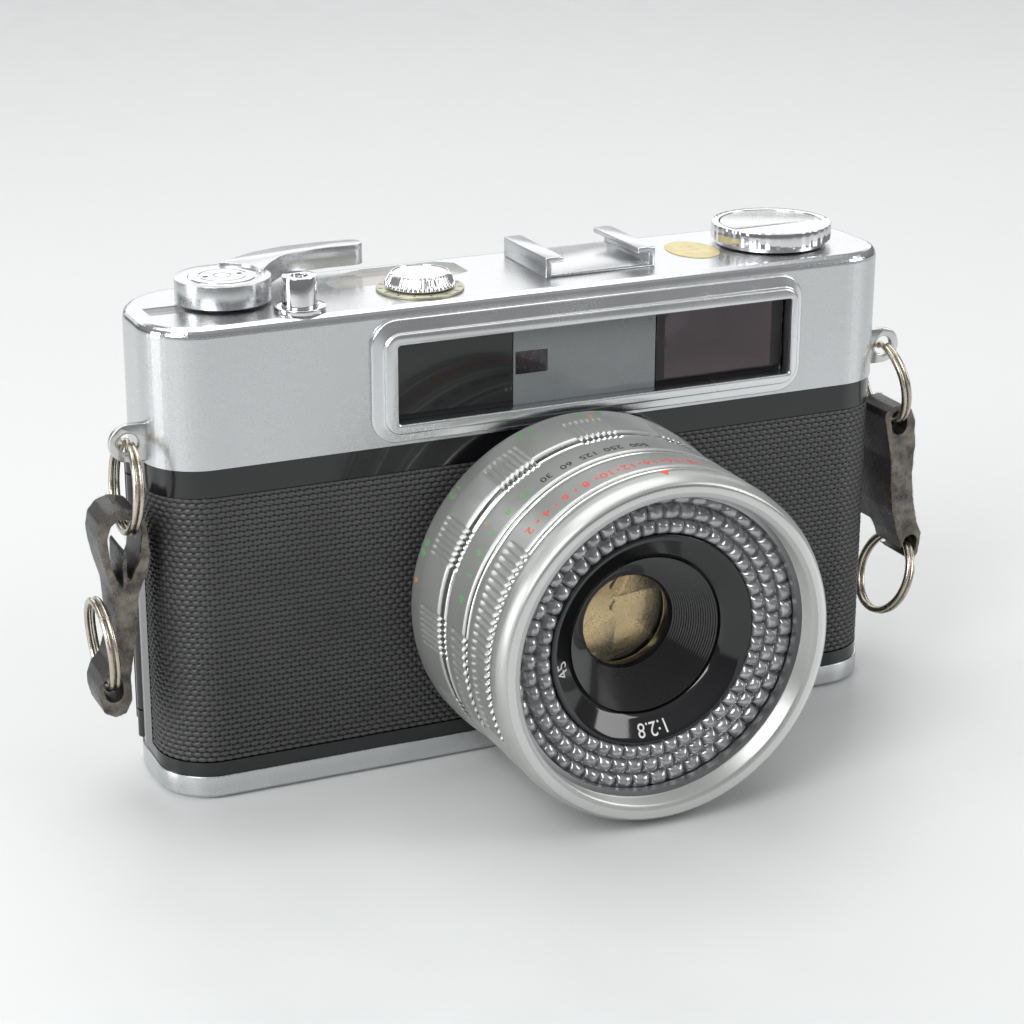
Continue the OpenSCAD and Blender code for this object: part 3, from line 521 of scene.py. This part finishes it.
dots("speed_dot", [(-51, 18.5)], "ink_orange", "speed_ring", FLAT_R)


def pointer():
    """Red triangle on the front ring."""
    outline = [(0, 37.1), (-0.8, 35.6), (0.8, 35.6)]
    verts = [lens_point(np.array(30.62 - 0.1 * (z - 35.4) + lift), np.array(x / 30.5), z).tolist()
             for lift in (-0.05, 0.03) for x, z in outline]
    piece("aperture_pointer", verts, [(0, 1, 2), (5, 4, 3), (0, 1, 4, 3), (1, 2, 5, 4), (2, 0, 3, 5)],
          ["ink_red"], "lens_unit")


def on_cone(name, marks, size):
    """Numerals on the sloping face of the name ring, tops outward."""
    middle, slope = 16.4, 0.634
    verts, faces, start = [], [], 0
    for text, angle in marks:
        v, f = glyphs(text, size)
        r = middle + v[:, 1]
        theta = math.radians(angle) + v[:, 0] / 16.3
        verts.append(lens_point(r, theta, 30.8 + (r - 14.1) * slope + 0.03 + v[:, 2]))
        faces += [tuple(k + start for k in face) for face in f]
        start += len(v)
    piece(name, np.concatenate(verts), faces, ["ink_white"], "lens_unit")


pointer()
on_cone("name_ring_numerals", [("1:2.8", 177), ("45", -100)], 3.1)


# ---- Strap fittings ----

def double_ring(name, node, body, point, angle):
    """Split ring: two turns of wire side by side, joined by a slanting stretch in the middle."""
    steps, sides, wire_r = 220, 12, 0.62
    turn = np.linspace(0, 4 * np.pi - 0.15, steps)
    shift = np.clip((turn - 1.75 * np.pi) / (0.5 * np.pi), 0, 1)
    shift = (shift * shift * (3 - 2 * shift) - 0.5) * 1.02
    around = np.arange(sides) * 2 * np.pi / sides
    r = SPLIT_R + wire_r * np.cos(around)[None, :] * np.ones((steps, 1))
    x = shift[:, None] + 0.47 * np.sin(around)[None, :]
    local = np.stack([x, r * np.sin(turn)[:, None], -SPLIT_R + r * np.cos(turn)[:, None]], axis=-1)
    a = math.radians(angle)
    rot = np.array([[math.cos(a), 0, math.sin(a)], [0, 1, 0], [-math.sin(a), 0, math.cos(a)]])
    verts = local.reshape(-1, 3) @ rot.T + np.array([point[0], STRAP_Y, point[1]])
    faces = [(i * sides + k, i * sides + (k + 1) % sides,
              (i + 1) * sides + (k + 1) % sides, (i + 1) * sides + k)
             for i in range(steps - 1) for k in range(sides)]
    faces += [tuple(range(sides)), tuple((steps - 1) * sides + k for k in reversed(range(sides)))]
    piece(name, verts, faces, ["ring_wire"], body, node, smooth=60)


double_ring("upper_ring_left_wire", "upper_ring_left", "upper_ring_left", (-STRAP_X, LUG_Z), 4.5)
double_ring("upper_ring_right_wire", "upper_ring_right", "upper_ring_right", (STRAP_X, LUG_Z), -8)
double_ring("lower_ring_left_wire", "lower_ring_left", "lower_ring_left", FOOT_LEFT, 175.5)
double_ring("lower_ring_right_wire", "lower_ring_right", "lower_ring_right", FOOT_RIGHT, 20)


def fuzz(name, mesh, body, keep_off):
    """Short loose fibres on a leather tab, kept clear of the points where rings pass through it."""
    pick = random.Random(7)
    clearance, half_width = 3, 0.035
    clear = [p for p in mesh.polygons
             if all(math.hypot(p.center.x / MM - x, p.center.z / MM - z) > clearance for x, z in keep_off)]
    edge = [p for p in clear if 0.35 < abs(p.normal.y) < 0.97]
    face = [p for p in clear if abs(p.normal.y) >= 0.97]
    verts, faces = [], []
    for p in pick.choices(edge, k=2600) + pick.choices(face, k=900):
        root = p.center / MM - p.normal * 0.08
        lean = Vector([pick.uniform(-0.7, 0.7) for _ in range(3)])
        out = (p.normal + lean).normalized()
        across = out.cross(Vector((0.3, 0.5, 0.8))).normalized() * half_width
        length = pick.uniform(0.2, 0.6)
        bend = out * length * 0.55 + across * pick.uniform(-2, 2)
        tip = bend + out * length * 0.45 + lean * 0.15
        start = len(verts)
        verts += [tuple(root - across), tuple(root + across), tuple(root + bend + across * 0.6),
                  tuple(root + bend - across * 0.6), tuple(root + tip)]
        faces += [(start, start + 1, start + 2, start + 3), (start + 3, start + 2, start + 4)]
    piece(name, verts, faces, ["suede_fibre"], body)


def leather_tab(node, body, ring_points):
    """CAD tab remeshed, rounded and roughened, with suede on the cut edges."""
    holder = bpy.data.objects.new("tab_work", frame["nodes"][node].data.copy())
    bpy.context.scene.collection.objects.link(holder)
    holder.matrix_world = frame["nodes"][node].matrix_world
    remesh = holder.modifiers.new("remesh", "REMESH")
    remesh.mode, remesh.voxel_size = "VOXEL", 0.28 * MM
    relax = holder.modifiers.new("relax", "SMOOTH")
    relax.iterations, relax.factor = 3, 0.5
    bpy.context.view_layer.update()
    mesh = bpy.data.meshes.new_from_object(holder.evaluated_get(bpy.context.evaluated_depsgraph_get()))
    mesh.transform(holder.matrix_world)
    bpy.data.objects.remove(holder)
    normals = [v.normal.copy() for v in mesh.vertices]
    for v, normal in zip(mesh.vertices, normals):
        cut = abs(normal.y)
        rough = noise.noise(v.co * 900) * 0.1 * cut + noise.noise(v.co * 160) * 0.1
        v.co += normal * (rough - 0.12) * MM
    indices = [1 if abs(p.normal.y) > 0.55 else 0 for p in mesh.polygons]
    fuzz(node + "_fuzz", mesh, body, ring_points)
    dress(node + "_hide", mesh, ["tab_leather", "suede"], body, node, indices, 80)


leather_tab("leather_tab_left", "leather_tab_left", [HEAD_LEFT, FOOT_LEFT])
leather_tab("leather_tab_right", "leather_tab_right", [HEAD_RIGHT, FOOT_RIGHT])


# ---- Top plate details ----

def disc_stack(name, node, mat, body, at, profile, count=96):
    """Turned piece about a vertical axis from (radius, height) points."""
    turn = np.arange(count) * 2 * np.pi / count
    line = np.array(profile)
    verts = np.stack([at[0] + np.outer(np.cos(turn), line[:, 0]), at[1] + np.outer(np.sin(turn), line[:, 0]),
                      np.broadcast_to(line[:, 1], (count, len(line)))], axis=-1).reshape(-1, 3)
    return piece(name, verts, loop_faces(count, len(line)).tolist(), [mat], body, node, smooth=30)


def grooved_top(top, radius, bottom, rings):
    """Profile of a disc whose top carries turned grooves."""
    line = [(0.02, bottom), (radius, bottom), (radius, top - 0.15), (radius - 0.15, top)]
    for r in rings:
        line += [(r + 0.16, top), (r, top - 0.18), (r - 0.16, top)]
    return line + [(0.02, top)]


HUB_TOP = COVER_TOP + 4.6
disc_stack("lever_cap_turned", "lever_cap", "bright_chrome", "advance_lever", LEVER_AT,
           grooved_top(HUB_TOP, 5.85, HUB_TOP - 1.1, [4.1, 1.5]))
# Two matt-black discs flush with the cap's top: painted shade standing in for the insides of its two holes
for side_name, offset in (("left", -3), ("right", 3)):
    disc_stack("lever_cap_hole_shade_" + side_name, None, "matt_black", "advance_lever",
               (LEVER_AT[0] + offset, LEVER_AT[1]),
               [(0.01, HUB_TOP - 0.2), (0.5, HUB_TOP - 0.2), (0.5, HUB_TOP + 0.01), (0.01, HUB_TOP + 0.01)],
               24)

# CAD nodes shown with rounded edges: material and width of the rounding
SOFT = {"window_frame": ("frame_metal", 0.3), "base_plate": ("satin_chrome", 0.2),
        "accessory_shoe": ("satin_chrome", 0.2), "release_collar": ("bright_chrome", 0.12),
        "release_button": ("bright_chrome", 0.12),
        "advance_lever": ("satin_chrome", 0.3), "rewind_knob": ("bright_chrome", 0.1),
        "rewind_crank": ("satin_steel", 0.12), "strap_lug_left": ("bright_steel", 0.2),
        "strap_lug_right": ("bright_steel", 0.2), "door_latch": ("bright_steel", 0.3),
        "eyepiece_frame": ("matt_black", 0.2), "case_screws": ("bright_steel", 0.08),
        "dial_ring": ("dial_scale", 0.1)}
BODY_OF = {node: body for body, nodes in frame["record"]["behaviour"]["bodies"].items() for node in nodes}
for node, (mat, width) in SOFT.items():
    softened(node, mat, BODY_OF[node], width)


def ribbed_dial():
    """Film-speed dial with ribs on its sloping flank and a turned top."""
    line = np.array([(0.02, 0.2), (2.1, 0.2), (2.1, 0.7), (6.0, 0.75), (6.15, 0.95), (6.15, 1.3), (5.9, 1.75),
                     (5.65, 2.2), (5.4, 2.65), (5.2, 3.0), (5.05, 3.1), (4.85, 3.1), (4.75, 2.9), (4.6, 3.0),
                     (0.02, 3.0)])
    count, ribs, depth = 576, 48, 0.22
    turn = (np.arange(count) * 2 * np.pi / count)[:, None]
    rib = np.clip(0.5 - 0.8 * np.cos(turn * ribs), 0, 1) * ((line[:, 1] > 1.2) & (line[:, 0] > 5.1)) * depth
    r = line[:, 0] - rib
    verts = np.stack([DIAL_AT[0] + r * np.cos(turn), DIAL_AT[1] + r * np.sin(turn),
                      COVER_TOP + np.broadcast_to(line[:, 1], r.shape)], axis=-1).reshape(-1, 3)
    piece("film_speed_dial_ribbed", verts, loop_faces(count, len(line)).tolist(), ["bright_chrome"],
          "film_speed_dial", "film_speed_dial", smooth=30)


def tilted_blades():
    """Shutter blades, each at its own slight tilt."""
    verts, faces = [], []
    reach, rearmost, tilts = 9.1, 16.7, (7, -6, 3, -8, 5, -3, 8)
    for k, tilt in enumerate(tilts):
        start, turn = len(verts), math.radians(k * 360 / len(tilts))
        shape = [(-0.5, -1.2), (reach, -4.6), (reach, 5.2), (2.2, 2.4)]
        for lift in (0, 0.12):
            for x, y in shape:
                out = np.array([x, y]) * min(1, reach / math.hypot(x, y))
                depth = rearmost + k * 0.14 + lift + out[1] * math.sin(math.radians(tilt))
                angle = turn + math.atan2(out[1], out[0])
                verts.append(lens_point(np.array(math.hypot(*out)), np.array(angle), depth).tolist())
        box = ((0, 1, 2, 3), (7, 6, 5, 4), (0, 4, 5, 1), (1, 5, 6, 2), (2, 6, 7, 3), (3, 7, 4, 0))
        faces += [tuple(start + i for i in f) for f in box]
    piece("shutter_blades_tilted", verts, faces, ["blade_steel"], "lens_unit", "shutter_blades")


ribbed_dial()
tilted_blades()


def dial_marks():
    """Black ticks round the film-speed scale, and two green index marks."""
    groups = (("dial_ticks", "ink_black", range(0, 360, 24)), ("dial_index", "ink_green", (-78, -66)))
    for name, ink, angles in groups:
        verts, faces = [], []
        for a in map(math.radians, angles):
            out = np.array([math.cos(a), math.sin(a)])
            across = np.array([-out[1], out[0]]) * 0.14
            start = len(verts)
            for height in (COVER_TOP + 0.4, COVER_TOP + 0.48):
                for r, s in ((6.5, -1), (7.3, -1), (7.3, 1), (6.5, 1)):
                    p = out * r + across * s
                    verts.append((DIAL_AT[0] + p[0], DIAL_AT[1] + p[1], height))
            box = ((3, 2, 1, 0), (4, 5, 6, 7), (0, 1, 5, 4), (1, 2, 6, 5), (2, 3, 7, 6), (3, 0, 4, 7))
            faces += [tuple(start + k for k in f) for f in box]
        piece(name, verts, faces, [ink], "camera_body")


dial_marks()


# ---- Materials of the CAD nodes that stay ----

NODE_SLOT = {part["node"]: part["material_slot"] for part in frame["record"]["subparts"]}
NODE_SLOT["top_cover"] = "cover_chrome"
for name, obj in frame["nodes"].items():
    for entry in obj.material_slots:
        entry.material = MATS[NODE_SLOT[name]]


# ---- Stage, light and camera ----

def plane(name, corners, color, rough):
    """Flat piece of the stage."""
    mesh = bpy.data.meshes.new(name)
    mesh.from_pydata(corners, [], [(0, 1, 2, 3)])
    mesh.materials.append(material(name, color, rough, bump=0.0, vary=0.01))
    obj = bpy.data.objects.new(name, mesh)
    bpy.context.scene.collection.objects.link(obj)


def area_light(name, place, target, size, power):
    """Rectangular light at place, turned to target."""
    data = bpy.data.lights.new(name, "AREA")
    data.shape, data.size, data.size_y, data.energy = "RECTANGLE", size[0], size[1], power
    obj = bpy.data.objects.new(name, data)
    obj.location = place
    obj.rotation_euler = (Vector(target) - Vector(place)).to_track_quat("-Z", "Y").to_euler()
    bpy.context.scene.collection.objects.link(obj)


plane("floor", [(-4, -4, 0), (4, -4, 0), (4, 4, 0), (-4, 4, 0)], (0.62, 0.63, 0.63), 0.45)
area_light("key", (-0.75, -0.5, 0.75), (0, 0, 0.04), (0.5, 0.7), 7.5)
area_light("fill", (0.9, -0.6, 0.55), (0, 0, 0.04), (0.5, 0.6), 4)
area_light("back", (0.3, 1.3, 0.6), (0, 0, 0.06), (2.0, 0.8), 6)
area_light("side", (-1.0, 0.1, 0.25), (0, 0, 0.04), (0.3, 0.5), 3)
area_light("top", (0, 0.25, 1.1), (0, 0, 0.05), (1.2, 0.8), 7.5)
world = bpy.data.worlds.new("studio")
world.use_nodes = True
sky = world.node_tree.nodes
direction = sky.new("ShaderNodeTexCoord")
height_of = sky.new("ShaderNodeSeparateXYZ")
ramp = sky.new("ShaderNodeValToRGB")
ramp.color_ramp.elements[0].position, ramp.color_ramp.elements[0].color = 0.0, (0.4, 0.405, 0.41, 1)
ramp.color_ramp.elements[1].position, ramp.color_ramp.elements[1].color = 0.75, (0.9, 0.91, 0.92, 1)
world.node_tree.links.new(direction.outputs["Generated"], height_of.inputs[0])
world.node_tree.links.new(height_of.outputs["Z"], ramp.inputs[0])
world.node_tree.links.new(ramp.outputs[0], sky["Background"].inputs["Color"])
sky["Background"].inputs["Strength"].default_value = 0.5
bpy.context.scene.world = world
bpy.context.scene.view_settings.view_transform = "Standard"

# Camera of the photograph: view direction, roll and lens from the perspective fit
camera = bpy.data.cameras.new("camera")
camera.sensor_width, camera.lens = 36, 85.41
camera.shift_x, camera.shift_y = 0.1056, -0.0690
camera.clip_start = 0.01
eye = bpy.data.objects.new("camera", camera)
bpy.context.scene.collection.objects.link(eye)
azimuth, elevation, roll = (math.radians(a) for a in (21.672, 18.209, -0.674))
back = Vector((-math.sin(azimuth) * math.cos(elevation), -math.cos(azimuth) * math.cos(elevation),
               math.sin(elevation)))
level = Vector((math.cos(azimuth), -math.sin(azimuth), 0))
upward = back.cross(level)
right = level * math.cos(roll) + upward * math.sin(roll)
above = upward * math.cos(roll) - level * math.sin(roll)
turned = Matrix((right, above, back)).transposed().to_4x4()
aim, distance = Vector((-26.63, FRONT_Y, 60.57)), 413.323
eye.matrix_world = Matrix.Translation((aim + back * distance) * MM) @ turned
bpy.context.scene.camera = eye
